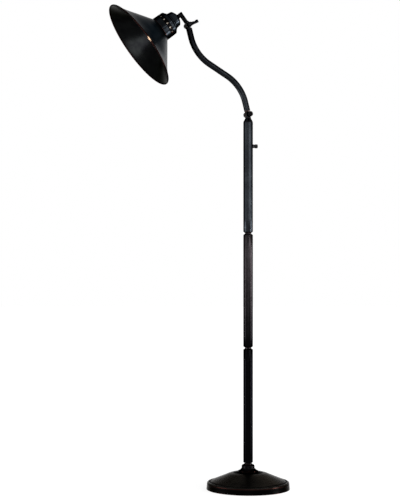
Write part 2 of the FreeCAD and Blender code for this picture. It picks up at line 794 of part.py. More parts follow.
def make_tilt_lever():
    """Hub on the upper bolt with one flat blade whose tip turns up for the thumb."""
    foot = "clamp_seat + clamp_gap"
    top = f"{foot} + lever_hub_height"
    lever = new_body("tilt_lever")
    turn_outline(lever, [
        ("bolt_hole", foot),
        ("lever_hub_radius", foot),
        ("lever_hub_radius", f"{top} - lever_hub_edge", edge_share),
        ("lever_hub_radius - lever_hub_edge", top),
        ("bolt_hole", top),
    ])
    blade = new_sketch(lever, "Blade", "XY_Plane")
    blade.AttachmentOffset = FreeCAD.Placement(FreeCAD.Vector(0, 0, number(foot)),
                                               FreeCAD.Rotation(z_turn, number("lever_angle")))
    blade.setExpression(".AttachmentOffset.Base.z", formula(f"{foot} + lever_seat"))
    blade.setExpression(".AttachmentOffset.Rotation.Angle", formula("lever_angle"))
    draw(blade, [
        ("bolt_radius + joint_gap * 4", "-(lever_root_half)"),
        ("lever_hub_radius", "-(lever_root_half)"),
        ("lever_length / 2", "-(lever_blade_half)"),
        ("lever_length", "-(lever_blade_half)"),
        ("lever_length", "lever_tip_rise - lever_tip_length / 2", bead_share),
        ("lever_length - lever_tip_length", "lever_tip_rise", bead_share),
        ("lever_length - 2 * lever_tip_length", "lever_blade_half"),
        ("lever_length / 2", "lever_blade_half"),
        ("lever_hub_radius", "lever_root_half"),
        ("bolt_radius + joint_gap * 4", "lever_root_half"),
    ])
    pad = lever.newObject("PartDesign::Pad", "lever_blade")
    pad.Profile = (blade, [""])
    pad.setExpression("Length", formula("lever_width"))
    lever.Tip = pad
    seat(lever, "tilt_lever", "upper_axis")


# Arm
def make_arm_tube():
    """One tube with two equal, opposite bends: straight, bend, straight, bend back, straight."""
    arm = new_body("arm_tube")
    path = new_sketch(arm, "Path", "XZ_Plane")
    bend_x = "-(arm_swing)"
    bend_z = "arm_straight + arm_climb"
    middle_x = f"{bend_x} - arm_mid_run * sin(arm_bend)"
    middle_z = f"{bend_z} + arm_mid_run * cos(arm_bend)"
    back_x = f"{middle_x} - arm_swing"
    back_z = f"{middle_z} + arm_climb"
    bend_share = "0.5 / sin(arm_bend / 2)"
    draw(path, [
        ("0", "0"),
        ("0", "arm_straight", bend_share),
        (bend_x, bend_z),
        (middle_x, middle_z, f"-({bend_share})"),
        (back_x, back_z),
        (back_x, f"{back_z} + arm_straight"),
    ], closed=False)
    ring = new_sketch(arm, "Ring", "XY_Plane")
    draw_circle(ring, "0", "0", "arm_radius")
    draw_circle(ring, "0", "0", "arm_bore")
    pipe = arm.newObject("PartDesign::AdditivePipe", "arm_pipe")
    pipe.Profile = (ring, [""])
    pipe.Spine = (path, [""])
    seat(arm, "arm_tube", "arm")


# Head
def make_elbow():
    """Lug, bar and stub in one casting. The bar runs square to the shade's axis."""
    disc = cylinder("elbow_disc", "lug_radius", "lug_thickness", ("-(elbow_offset)", "-(lug_gap)", "0"),
                    (x_turn, quarter_turn))
    web_block = primitive("Box", "elbow_web_block", {
        "Length": "lug_shoulder + lug_collar", "Width": "lug_thickness", "Height": "2 * lug_web_half",
    }, ("-(elbow_offset)", "-(lug_face)", "-(lug_web_half)"))
    web_round = cylinder("elbow_web_round", "arm_radius", "lug_shoulder + lug_collar",
                         ("-(elbow_offset)", "0", "0"), (y_turn, quarter_turn))
    web = doc.addObject("Part::Common", "elbow_web")
    web.Base = web_block
    web.Tool = web_round
    bar = cylinder("elbow_bar", "elbow_radius", "elbow_offset - lug_shoulder + elbow_top",
                   ("lug_shoulder - elbow_offset", "0", "0"), (y_turn, quarter_turn))
    stub = cylinder("elbow_stub_round", "elbow_radius", "elbow_stub")
    drill = cylinder("elbow_pivot_drill", "bolt_hole", "lug_face + 2 * overrun",
                     ("-(elbow_offset)", "overrun", "0"), (x_turn, quarter_turn))
    tap = cylinder("elbow_tap", "nipple_hole", "elbow_stub", ("0", "0", "nipple_start - joint_gap"))
    body = cut("elbow_drilled", fuse("elbow_solid", [disc, web, bar, stub]), drill)
    seat(cut("shade_elbow", body, tap), "shade_elbow", "head")


def make_cap():
    """Bell-shaped cap over the lamp holder."""
    turned("cap_nipple", tube_outline("wire_bore", "nipple_radius", "nipple_start", "nipple_end"), "head")
    hex_nut("cap_locknut", "locknut_corner_radius", "nipple_hole", "locknut_height",
            "cap_start + shell_wall", "head")
    turned("shade_cap", [
        ("nipple_hole", "cap_start"),
        ("cap_back_radius", "cap_start", brow_share),
        ("cap_shoulder_radius", "cap_shoulder", cap_share),
        ("cap_belt_radius", "cap_belt"),
        ("cap_waist_radius", "cap_waist"),
        ("cap_mouth_radius", "cap_flare"),
        ("cap_mouth_radius", "cap_end"),
        ("cap_mouth_radius - shell_wall", "cap_end"),
        ("cap_mouth_radius - shell_wall", "cap_flare + shell_wall / 2"),
        ("cap_waist_radius - shell_wall", "cap_waist + shell_wall / 2"),
        ("cap_belt_radius - shell_wall", "cap_belt + shell_wall / 2", -cap_share),
        ("cap_shoulder_radius - shell_wall", "cap_shoulder + shell_wall", -brow_share),
        ("cap_back_radius", "cap_start + shell_wall"),
        ("nipple_hole", "cap_start + shell_wall"),
    ], "head")


def make_vent_collar():
    """Drum with a ring of vents, crimped round the cap's skirt."""
    collar = new_body("vent_collar")
    lip_radius = "collar_bore + collar_lip_width"
    turn_outline(collar, [
        ("collar_bore", "cap_mouth + joint_gap"),
        (lip_radius, "cap_mouth + joint_gap", cap_share),
        (f"{lip_radius} + collar_lip_rise", "collar_lip + joint_gap"),
        ("drum_radius - collar_lip_rise", "drum_top - collar_lip_rise", cap_share),
        ("drum_radius", "drum_top"),
        ("drum_end_radius", "drum_end"),
        ("drum_end_radius - shell_wall", "drum_end"),
        ("drum_radius - shell_wall", "drum_top + shell_wall / 2"),
        (f"{lip_radius}", "collar_lip + shell_wall"),
        ("collar_bore", "collar_lip + shell_wall"),
    ])
    vent = new_sketch(collar, "Vent", "XZ_Plane")
    vent.AttachmentOffset = FreeCAD.Placement(FreeCAD.Vector(), FreeCAD.Rotation(y_turn, number("vent_phase")))
    vent.setExpression(".AttachmentOffset.Rotation.Angle", formula("vent_phase"))
    draw_circle(vent, "0", "vent_height", "vent_radius")
    polar_cut(collar, vent, "drum_end_radius + overrun", "vent_count", reverse=True)
    seat(collar, "vent_collar", "head")


def make_light_baffle():
    turned("light_baffle", [
        ("holder_neck_radius + joint_gap", "baffle_seat"),
        ("baffle_radius", "baffle_seat"),
        ("baffle_radius", "baffle_end"),
        ("baffle_radius - baffle_wall", "baffle_end"),
        ("baffle_radius - baffle_wall", "baffle_seat + baffle_wall"),
        ("holder_neck_radius + joint_gap", "baffle_seat + baffle_wall"),
    ], "head")


def make_lamp_holder():
    holder = new_body("lamp_holder_blank")
    turn_outline(holder, [
        ("nipple_hole", "holder_start"),
        ("holder_radius", "holder_start"),
        ("holder_radius", "holder_seat"),
        ("holder_flange_radius", "holder_seat"),
        ("holder_flange_radius", "baffle_seat"),
        ("holder_neck_radius", "baffle_seat"),
        ("holder_neck_radius", "holder_end"),
        ("holder_bore", "holder_end"),
        ("holder_bore", "shell_seat"),
        ("contact_well_radius", "shell_seat"),
        ("contact_well_radius", "holder_floor"),
        ("contact_rivet_radius + slip_gap", "holder_floor"),
        ("contact_rivet_radius + slip_gap", "nipple_end + joint_gap"),
        ("nipple_hole", "nipple_end + joint_gap"),
    ])
    drills = [
        cylinder(f"terminal_drill_{side}", "terminal_shank_radius + slip_gap", "terminal_depth + overrun",
                 ("0", f"{sign}(holder_radius - terminal_depth)", "terminal_height"), (x_turn, turn))
        for side, sign, turn in (("front", "-", quarter_turn), ("back", "", -quarter_turn))
    ]
    seat(cut("lamp_holder", holder, fuse("terminal_drills", drills)), "lamp_holder", "head")
    screws = []
    for side, sign, turn in (("front", "-", quarter_turn), ("back", "", -quarter_turn)):
        screws.append(cylinder(f"terminal_shank_{side}", "terminal_shank_radius",
                               "terminal_depth + terminal_head_height",
                               ("0", f"{sign}(holder_radius - terminal_depth + joint_gap)", "terminal_height"),
                               (x_turn, turn)))
        screws.append(cylinder(f"terminal_head_{side}", "terminal_head_radius", "terminal_head_height",
                               ("0", f"{sign}(holder_radius + joint_gap)", "terminal_height"), (x_turn, turn)))
    seat(fuse("terminal_screws", screws), "terminal_screws", "head")
    turned("screw_shell", [
        ("screw_shell_lip", "shell_seat"),
        ("shell_outer", "shell_seat"),
        ("shell_outer", "shell_seat + screw_shell_length"),
        ("screw_shell_bore", "shell_seat + screw_shell_length"),
        ("screw_shell_bore", "shell_seat + screw_shell_wall"),
        ("screw_shell_lip", "shell_seat + screw_shell_wall"),
    ], "head")
    turned("centre_contact", [
        ("0", "nipple_end + joint_gap"),
        ("contact_rivet_radius", "nipple_end + joint_gap"),
        ("contact_rivet_radius", "holder_floor"),
        ("contact_radius", "holder_floor"),
        ("contact_radius", "holder_floor + contact_height / 2", edge_share),
        ("contact_rivet_radius", "holder_floor + contact_height"),
        ("0", "holder_floor + contact_height"),
    ], "head")
    turned("shade_ring", tube_outline("holder_neck_radius + thread_slack", "ring_radius", "ring_foot",
                                      "ring_foot + ring_height"), "head")


def make_shade():
    """Spun cone with a straight neck inside the drum, a flatter brim and a rolled rim."""
    half_bead = "rim_bead / 2"
    roll_rise = "rim_bead * sin(60)"
    turned("shade", [
        ("shade_neck_radius - shade_wall", "neck_top"),
        ("shade_neck_radius", "neck_top"),
        ("shade_neck_radius", "cone_start"),
        ("cone_radius", "cone_start"),
        ("cone_end_radius", "cone_end", -brim_share),
        (f"rim_middle - {half_bead}", f"rim_place - {roll_rise}", roll_share),
        ("rim_middle + rim_bead", "rim_place", roll_share),
        (f"rim_middle - {half_bead}", f"rim_place + {roll_rise}", seat_share),
        ("rim_middle - rim_bead * cos(20)", "rim_place - rim_bead * sin(20)", brim_share),
        (f"cone_end_radius - shade_wall * {wall_out_share}", f"cone_end + shade_wall * {wall_up_share}"),
        ("shade_neck_radius - shade_wall", "cone_start - shade_wall / 2"),
    ], "head")


def check(piece):
    """Stop on a piece that failed, is empty or is not a valid solid."""
    if "Invalid" in piece.State or "Error" in piece.State:
        raise RuntimeError(f"{piece.Label}: {piece.State}")
    shape = piece.Shape
    if shape.isNull() or not shape.isValid() or not shape.Solids:
        raise RuntimeError(f"{piece.Label}: the shape is not a valid solid")


make_felt_pad()
make_base_cover()
make_base_weight()
make_base_fastening()
make_cord_bushing()
make_base_collar()
make_column()
make_switch()
make_lug("column_swivel", "bolt_hole", "stem_radius", "stem_length", "column_lug")
make_lug("arm_lower_swivel", "bolt_radius", "arm_bore - slip_gap", "stem_length", "arm_lug")
make_lug("arm_upper_swivel", "bolt_radius", "arm_bore - slip_gap", "stem_length", "arm_top_lug")
make_knuckle_hardware()
make_clamp_knob()
make_tilt_lever()
make_arm_tube()
make_elbow()
make_cap()
make_vent_collar()
make_light_baffle()
make_lamp_holder()
make_shade()
doc.recompute()

for item in doc.Objects:
    if "Invalid" in item.State or "Error" in item.State:
        raise RuntimeError(f"{item.Label}: {item.State}")
os.makedirs("parts", exist_ok=True)
for piece in finished:
    check(piece)
for piece in finished:
    piece.Shape.exportStep(os.path.join("parts", piece.Label + ".step"))
    print(f"{piece.Label}: {len(piece.Shape.Solids)} solid, {piece.Shape.Volume:.0f} mm3")
print("pivot height", round(number("pivot_height"), 2), "tilt height", round(number("tilt_height"), 2),
      "reach", round(number("reach"), 2))
sheet.clear(readout)
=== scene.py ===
import json
import math

import bpy
from mathutils import Matrix, Vector


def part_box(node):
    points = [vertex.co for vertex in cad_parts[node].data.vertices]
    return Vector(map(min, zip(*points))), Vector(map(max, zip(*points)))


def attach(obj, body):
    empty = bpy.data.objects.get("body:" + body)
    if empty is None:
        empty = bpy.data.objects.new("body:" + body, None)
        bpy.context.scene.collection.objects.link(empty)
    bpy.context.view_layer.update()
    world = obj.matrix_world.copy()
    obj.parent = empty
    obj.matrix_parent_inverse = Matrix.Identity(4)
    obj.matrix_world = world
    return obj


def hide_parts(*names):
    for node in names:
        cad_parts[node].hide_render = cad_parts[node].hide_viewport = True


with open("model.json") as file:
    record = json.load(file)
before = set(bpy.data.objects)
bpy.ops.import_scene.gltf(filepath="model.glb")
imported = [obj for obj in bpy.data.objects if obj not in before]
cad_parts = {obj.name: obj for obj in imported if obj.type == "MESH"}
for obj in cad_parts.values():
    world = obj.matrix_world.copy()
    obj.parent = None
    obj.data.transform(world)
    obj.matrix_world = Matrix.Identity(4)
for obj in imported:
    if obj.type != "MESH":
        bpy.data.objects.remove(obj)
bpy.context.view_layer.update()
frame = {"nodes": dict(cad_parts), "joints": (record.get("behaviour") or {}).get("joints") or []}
print("frame loaded")

mm = 0.001
nodes = frame["nodes"]
joints = {joint["name"]: joint for joint in frame["joints"]}

# how the lamp stands at rest: the arm's lean, the shade's drop and how far its axis is from the pivot
restPose = {"armLean": 14.1, "shadeDrop": 36.4, "headReach": 38.2}
pivotLow = Vector(joints["arm_tilt"]["pos_m"])
pivotHigh = Vector(joints["head_tilt"]["pos_m"])
shadeDrop = math.radians(restPose["shadeDrop"])
headOut = Vector((-math.sin(shadeDrop), 0, math.cos(shadeDrop)))
headOrigin = pivotHigh + headOut * restPose["headReach"] * mm

# pieces are made upright on the world's axis, and each body's place then takes them where they belong
upright = Matrix.Identity(4)
armPlace = Matrix.Translation(pivotLow) @ Matrix.Rotation(-math.radians(restPose["armLean"]), 4, "Y")
headPlace = Matrix.Translation(headOrigin) @ Matrix.Rotation(-math.radians(90) - shadeDrop, 4, "Y")


# camera at the photograph's angle: level, a little to the left of the arm's plane
camera = {"azimuth": -15, "distance": 4.355, "height": 0.729, "aimX": -0.1467, "lens": 102.8, "sensor": 36}
turn = math.radians(camera["azimuth"])
side = Vector((math.cos(turn), math.sin(turn), 0))
ahead = Vector((-math.sin(turn), math.cos(turn), 0))
bpy.ops.object.camera_add(
    location=side * camera["aimX"] - ahead * camera["distance"] + Vector((0, 0, camera["height"])),
    rotation=(math.radians(90), 0, turn),
)
lampCamera = bpy.context.object
lampCamera.data.lens = camera["lens"]
lampCamera.data.sensor_width = camera["sensor"]
bpy.context.scene.camera = lampCamera
bpy.context.scene.view_settings.view_transform = "Standard"
print("camera set at", [round(v, 3) for v in lampCamera.location])


# materials: colours are sRGB hex, sizes are in metres
def linearColour(text):
    parts = [int(text[i:i + 2], 16) / 255 for i in (0, 2, 4)]
    return tuple(p / 12.92 if p <= 0.04045 else ((p + 0.055) / 1.055) ** 2.4 for p in parts) + (1,)


# a colour Mix takes its factor on socket 0 and its colours on 6 and 7, and gives the result on socket 2
def addNode(tree, kind, settings=None, inputs=None, links=None):
    node = tree.nodes.new(kind)
    for key, value in (settings or {}).items():
        setattr(node, key, value)
    for key, value in (inputs or {}).items():
        node.inputs[key].default_value = value
    for key, source in (links or {}).items():
        tree.links.new(source, node.inputs[key])
    return node


def newMaterial(name):
    material = bpy.data.materials.new(name)
    material.use_nodes = True
    material.node_tree.nodes.clear()
    return material, material.node_tree


def closeMaterial(tree, shader):
    addNode(tree, "ShaderNodeOutputMaterial", links={"Surface": shader.outputs[0]})


grainHeight = 0.0001  # a tenth of a millimetre, the most that any coat's grain stands up


# Oil-rubbed bronze lacquer over steel: near black, cool in the open and copper where a hand rubs it.
def makeLacquer(name, look):
    material, tree = newMaterial(name)
    place = addNode(tree, "ShaderNodeTexCoord")
    local = addNode(tree, "ShaderNodeMapping", {"vector_type": "TEXTURE"},
                    {"Location": look["centre"], "Rotation": look["turn"]},
                    {"Vector": place.outputs["Object"]})
    stretched = addNode(tree, "ShaderNodeMapping", {}, {"Scale": look["stretch"]},
                        {"Vector": local.outputs[0]})
    clouds = addNode(tree, "ShaderNodeTexNoise", {},
                     {"Scale": 1 / look["cloudSize"], "Detail": 4.0, "Roughness": 0.6},
                     {"Vector": local.outputs[0]})
    spun = addNode(tree, "ShaderNodeTexNoise", {}, {"Scale": 1 / look["markSize"], "Detail": 3.0},
                   {"Vector": stretched.outputs[0]})
    tone = addNode(tree, "ShaderNodeValToRGB", links={"Fac": clouds.outputs["Fac"]})
    stops = zip(tone.color_ramp.elements, look["cloudRange"], (look["dark"], look["light"]))
    for stop, share, hexText in stops:
        stop.position = share
        stop.color = linearColour(hexText)
    colour = tone.outputs["Color"]
    # painted shade: the colour is blackened towards one end, where less light falls
    if look["paintedShadeHeights"]:  # blacker towards one end: the height where it is black, then where it is full
        heights = addNode(tree, "ShaderNodeSeparateXYZ", links={0: place.outputs["Object"]})
        rise = addNode(tree, "ShaderNodeMapRange", {"interpolation_type": "SMOOTHSTEP"},
                       {"From Min": look["paintedShadeHeights"][0], "From Max": look["paintedShadeHeights"][1]},
                       {"Value": heights.outputs["Z"]})
        shadedColour = addNode(tree, "ShaderNodeMix", {"data_type": "RGBA"}, {6: linearColour(look["paintedShadeColour"])},
                         {0: rise.outputs[0], 7: colour})
        colour = shadedColour.outputs[2]
    if look["paintedGlint"]:  # a painted highlight: a bright bronze spot where the rim's glint falls
        reach = addNode(tree, "ShaderNodeVectorMath", {"operation": "DISTANCE"}, {1: look["paintedGlint"]},
                        {0: place.outputs["Object"]})
        glintShare = addNode(tree, "ShaderNodeMapRange", {"interpolation_type": "SMOOTHSTEP"},
                       {"From Min": look["paintedGlintRange"][0], "From Max": look["paintedGlintRange"][1],
                        "To Min": 1.0, "To Max": 0.0},
                       {"Value": reach.outputs["Value"]})
        glinted = addNode(tree, "ShaderNodeMix", {"data_type": "RGBA"}, {7: linearColour(look["bronze"])},
                           {0: glintShare.outputs[0], 6: colour})
        colour = glinted.outputs[2]
    if look["rub"]:  # rubbed edges: where the rounded normal leaves the true one
        rounded = addNode(tree, "ShaderNodeBevel", {"samples": 6}, {"Radius": look["edgeSize"]})
        true = addNode(tree, "ShaderNodeNewGeometry")
        same = addNode(tree, "ShaderNodeVectorMath", {"operation": "DOT_PRODUCT"},
                       links={0: rounded.outputs[0], 1: true.outputs["Normal"]})
        rub = addNode(tree, "ShaderNodeMapRange", {},
                      {"From Min": look["rubRange"][0], "From Max": look["rubRange"][1],
                       "To Max": look["rub"]},
                      {"Value": same.outputs["Value"]})
        patch = addNode(tree, "ShaderNodeMath", {"operation": "MULTIPLY"},
                        links={0: rub.outputs[0], 1: clouds.outputs["Fac"]})
        mixed = addNode(tree, "ShaderNodeMix", {"data_type": "RGBA"}, {7: linearColour(look["copper"])},
                        {0: patch.outputs[0], 6: colour})
        colour = mixed.outputs[2]
    rough = addNode(tree, "ShaderNodeMapRange", {},
                    {"To Min": look["gloss"][0], "To Max": look["gloss"][1]},
                    {"Value": spun.outputs["Fac"]})
    peel = addNode(tree, "ShaderNodeTexNoise", {}, {"Scale": 1 / look["peelSize"], "Detail": 1.0},
                   {"Vector": local.outputs[0]})
    height = addNode(tree, "ShaderNodeMath", {"operation": "MULTIPLY_ADD"}, {1: look["marks"]},
                     {0: spun.outputs["Fac"], 2: peel.outputs["Fac"]})
    bump = addNode(tree, "ShaderNodeBump", {}, {"Strength": look["relief"], "Distance": grainHeight},
                   {"Height": height.outputs[0]})
    shader = addNode(tree, "ShaderNodeBsdfPrincipled", {},
                     {"Metallic": 1.0, "Specular Tint": linearColour(look["edgeTint"])},
                     {"Base Color": colour, "Roughness": rough.outputs[0], "Normal": bump.outputs[0]})
    closeMaterial(tree, shader)
    return material


lacquerLook = {
    "centre": (0, 0, 0), "turn": (0, 0, 0), "stretch": (1, 1, 1),  # how the pattern lies on the piece
    "cloudSize": 0.03, "cloudRange": (0.32, 0.68), "dark": "17191c", "light": "202326",  # uneven coat
    "markSize": 0.004, "marks": 0.4, "peelSize": 0.0016, "relief": 0.25,  # turning marks and orange peel
    "gloss": (0.22, 0.32), "edgeTint": "404040",  # low and high roughness, and the tint at a grazing angle
    "rub": 1.2, "rubRange": (0.985, 0.86), "edgeSize": 0.0009, "copper": "4d2a20",  # rubbed edges
    # painted shade: the heights and colour of the blacker end
    "paintedShadeHeights": None, "paintedShadeColour": "050506",  # the blacker end, where a piece has one
    "paintedGlint": None, "paintedGlintRange": (0.001, 0.0105), "bronze": "c4a488",  # the painted glint, a bright spot where a piece has one
}

# Drawn steel tubes of the column: fine marks run along them, and painted shade makes them blacker towards
# the foot; the lower tubes take a warmer, lighter copy.
tubeLook = {**lacquerLook, "stretch": (1, 1, 0.08), "rub": 0, "relief": 0.12, "edgeTint": "202020",
            "paintedShadeHeights": (0.4, 0.76)}
tubeLacquer = makeLacquer("lacqueredUpperTube", tubeLook)
lowTubeLacquer = makeLacquer("lacqueredLowerTubes", {**tubeLook, "dark": "1b191a", "light": "272426"})
# The bent steel tube of the arm: longer polishing marks, and painted shade makes it blacker towards its
# upper end.
armLacquer = makeLacquer("lacqueredBentTube", {
    **lacquerLook, "dark": "121416", "light": "1b1d20", "rub": 0, "markSize": 0.007, "edgeTint": "202020",
    "relief": 0.12, "paintedShadeHeights": (1.42, 1.2), "paintedShadeColour": "060608"})

# Cast and turned fittings: a thicker, blacker coat in small patches, copper on the edges that a hand meets.
castLook = {**lacquerLook, "cloudSize": 0.012}
fittingLacquer = makeLacquer("lacqueredCastFitting", {
    **castLook, "dark": "0b0c0e", "light": "181a1d", "rub": 0.5, "edgeSize": 0.0012})
knobLacquer = makeLacquer("lacqueredClampKnob", {
    **castLook, "dark": "040405", "light": "0a0a0b", "rub": 0.15})
elbowLacquer = makeLacquer("lacqueredElbow", {
    **castLook, "dark": "050506", "light": "0c0d0e", "rub": 0.3})
# The casting at the foot of the arm, where the coat is rubbed thin and brown all over, and made lighter as a
# painted highlight.
lugLacquerWithGlint = makeLacquer("rubbedArmLugPaintedGlint", {
    **lacquerLook, "cloudSize": 0.006, "dark": "1d1618", "light": "38302f", "rub": 0.9,
    "edgeTint": "a0a0a0"})

# Spun steel of the base: satin black and red on the bead, with painted shade blacker down the wall, round
# the collar's foot and in the cove.
baseLacquer = makeLacquer("lacqueredSpunBase", {
    **lacquerLook, "dark": "0a0a0a", "light": "151412", "edgeTint": "bdbcbb", "edgeSize": 0.002,
    "paintedShadeHeights": (0.013, 0.021), "paintedShadeColour": "030303"})
crownShadeLacquer = makeLacquer("paintedShadeBaseCrown", {
    **lacquerLook, "dark": "050505", "light": "0b0b0a", "rub": 0, "edgeTint": "808080"})
coveShadeLacquer = makeLacquer("paintedShadeBaseCove", {
    **lacquerLook, "dark": "020202", "light": "050505", "rub": 0})
beadLacquer = makeLacquer("rubbedBaseBead", {
    **lacquerLook, "dark": "1a0807", "light": "260f0c", "rub": 0})
collarLacquer = makeLacquer("lacqueredTurnedCollar", {
    **lacquerLook, "dark": "040404", "light": "0c0b0c", "rub": 0.8})

# Spun steel of the head: its marks run round the shade's axis, so the pattern is turned on to that axis.
headLook = {**lacquerLook, "centre": tuple(headOrigin), "turn": tuple(headPlace.to_euler()),
            "stretch": (0.03, 0.03, 1), "markSize": 0.0025, "marks": 1.2}
shadeLacquer = makeLacquer("lacqueredSpunShade", {
    **headLook, "dark": "161a1e", "light": "1f2428", "gloss": (0.26, 0.36), "edgeTint": "b3b3b3"})
# The shade's inside: the same lacquer made darker, as painted shade.
shadedInnerLacquer = makeLacquer("lacqueredShadeInsidePaintedShade", {
    **headLook, "dark": "050506", "light": "0b0c0c", "relief": 0.12, "gloss": (0.18, 0.26),
    "edgeTint": "bcbcbb"})
# The rolled rim, brown from handling, with a painted highlight: one bright bronze spot where the light's
# glint falls.
rimLacquerWithGlint = makeLacquer("rubbedRimPaintedGlint", {
    **headLook, "dark": "0b0606", "light": "1f100e", "gloss": (0.2, 0.3), "edgeTint": "a0a0a0",
    "paintedGlint": (-0.341, -0.143, 1.341)})
capLacquer = makeLacquer("lacqueredSpunCap", {
    **headLook, "dark": "14171a", "light": "22262b", "gloss": (0.11, 0.19)})
drumLacquer = makeLacquer("lacqueredVentDrum", {
    **headLook, "dark": "0b0d0f", "light": "16191c", "gloss": (0.18, 0.26)})
ventLacquer = makeLacquer("flatBlackVentBand", {
    **headLook, "dark": "030303", "light": "070708", "gloss": (0.4, 0.5)})
print("lacquers made")


# White enamel sprayed on the light baffle: a warm cream with fine peel.
enamelLook = {"dark": "d9cdb8", "light": "ece4d4", "gloss": 0.32, "peelSize": 0.0015, "relief": 0.2,
              "stainSize": 0.02}


def makeEnamel(name, look):
    material, tree = newMaterial(name)
    place = addNode(tree, "ShaderNodeTexCoord")
    peel = addNode(tree, "ShaderNodeTexNoise", {}, {"Scale": 1 / look["peelSize"]},
                   {"Vector": place.outputs["Object"]})
    stain = addNode(tree, "ShaderNodeTexNoise", {}, {"Scale": 1 / look["stainSize"], "Detail": 3.0},
                    {"Vector": place.outputs["Object"]})
    tone = addNode(tree, "ShaderNodeMix", {"data_type": "RGBA"},
                   {6: linearColour(look["dark"]), 7: linearColour(look["light"])},
                   {0: stain.outputs["Fac"]})
    bump = addNode(tree, "ShaderNodeBump", {}, {"Strength": look["relief"], "Distance": grainHeight},
                   {"Height": peel.outputs["Fac"]})
    shader = addNode(tree, "ShaderNodeBsdfPrincipled", {}, {"Roughness": look["gloss"], "IOR": 1.5},
                     {"Base Color": tone.outputs[2], "Normal": bump.outputs[0]})
    closeMaterial(tree, shader)
    return material


# Moulded and pressed pieces: one colour with a grain that also roughens the surface.
def makeMoulded(name, dark, light, gloss, grain, relief, shine=0.5, spread=0.06):
    material, tree = newMaterial(name)
    place = addNode(tree, "ShaderNodeTexCoord")
    noise = addNode(tree, "ShaderNodeTexNoise", {}, {"Scale": 1 / grain, "Detail": 3.0},
                    {"Vector": place.outputs["Object"]})
    tone = addNode(tree, "ShaderNodeMix", {"data_type": "RGBA"},
                   {6: linearColour(dark), 7: linearColour(light)}, {0: noise.outputs["Fac"]})
    rough = addNode(tree, "ShaderNodeMapRange", {}, {"To Min": gloss - spread, "To Max": gloss + spread},
                    {"Value": noise.outputs["Fac"]})
    bump = addNode(tree, "ShaderNodeBump", {}, {"Strength": relief, "Distance": grainHeight},
                   {"Height": noise.outputs["Fac"]})
    shader = addNode(tree, "ShaderNodeBsdfPrincipled", {}, {"IOR": 1.5, "Specular IOR Level": shine},
                     {"Base Color": tone.outputs[2], "Roughness": rough.outputs[0],
                      "Normal": bump.outputs[0]})
    closeMaterial(tree, shader)
    return material


# Bare metals: plated, cast or turned, with tool marks that break up the shine.
def makeBareMetal(name, dark, light, gloss, grain, stretch=(1, 1, 1), relief=0.2, spread=0.08):
    material, tree = newMaterial(name)
    place = addNode(tree, "ShaderNodeTexCoord")
    along = addNode(tree, "ShaderNodeMapping", {}, {"Scale": stretch}, {"Vector": place.outputs["Object"]})
    noise = addNode(tree, "ShaderNodeTexNoise", {}, {"Scale": 1 / grain, "Detail": 4.0},
                    {"Vector": along.outputs[0]})
    tone = addNode(tree, "ShaderNodeMix", {"data_type": "RGBA"},
                   {6: linearColour(dark), 7: linearColour(light)}, {0: noise.outputs["Fac"]})
    rough = addNode(tree, "ShaderNodeMapRange", {}, {"To Min": gloss - spread, "To Max": gloss + spread},
                    {"Value": noise.outputs["Fac"]})
    bump = addNode(tree, "ShaderNodeBump", {}, {"Strength": relief, "Distance": grainHeight},
                   {"Height": noise.outputs["Fac"]})
    shader = addNode(tree, "ShaderNodeBsdfPrincipled", {}, {"Metallic": 1.0},
                     {"Base Color": tone.outputs[2], "Roughness": rough.outputs[0],
                      "Normal": bump.outputs[0]})
    closeMaterial(tree, shader)
    return material


creamEnamel = makeEnamel("creamEnamel", enamelLook)
# Moulded phenolic of the lamp holder and switch: brown-black, half gloss, with a faint flow grain.
phenolic = makeMoulded("mouldedPhenolic", "0c0b0b", "1b1817", gloss=0.32, grain=0.004, relief=0.1)
# Moulded nylon of the switch knob: dull black that hardly shines.
switchNylon = makeMoulded("mouldedNylon", "040405", "0a0b0d", gloss=0.4, grain=0.0012, relief=0.2,
                          shine=0.1)
# Moulded rubber of the cord bushing: matt, with a fine bloom.
rubber = makeMoulded("mouldedRubber", "121212", "1f1e1d", gloss=0.62, grain=0.0008, relief=0.4)
# Pressed fibre of the friction washers: matt brown with short flecks.
fibre = makeMoulded("pressedFibre", "3b2c22", "57412f", gloss=0.8, grain=0.0006, relief=0.6)
# Wool felt under the base: soft dark grey in tufts of about a millimetre.
felt = makeMoulded("woolFelt", "1a1b1a", "2f302d", gloss=0.95, grain=0.0012, relief=1.0)
# Zinc-plated steel of the fixings under the base: pale grey with a satin shine.
zincSteel = makeBareMetal("zincPlatedSteel", "8f9294", "b9bcbd", gloss=0.32, grain=0.0015)
# Black-oxide steel of the clamp washers and ring nut: dark grey, oily shine.
oxideSteel = makeBareMetal("blackOxideSteel", "1b1c1e", "2c2d2f", gloss=0.36, grain=0.0012)
# Turned brass of the lamp holder's contacts and the cap's nipple: yellow, with fine drawn marks.
brass = makeBareMetal("turnedBrass", "a5813c", "cfae68", gloss=0.28, grain=0.001, stretch=(1, 1, 0.2))
# Cast iron of the weight: dark, rough from the sand mould.
castIron = makeBareMetal("castIron", "2a2826", "4a4641", gloss=0.62, grain=0.002)
print("materials made")


# modelling helpers: an outline's points are (distance from the axis, height) in mm, and a third number bends
# the run after its point into an arc: the arc's radius over its chord, positive where it turns left
mergeReach = 0.004 * mm


def deselectAll():
    if bpy.context.object and bpy.context.object.mode != "OBJECT":
        bpy.ops.object.mode_set(mode="OBJECT")
    bpy.ops.object.select_all(action="DESELECT")


def takeUp(piece):
    deselectAll()
    piece.select_set(True)
    bpy.context.view_layer.objects.active = piece


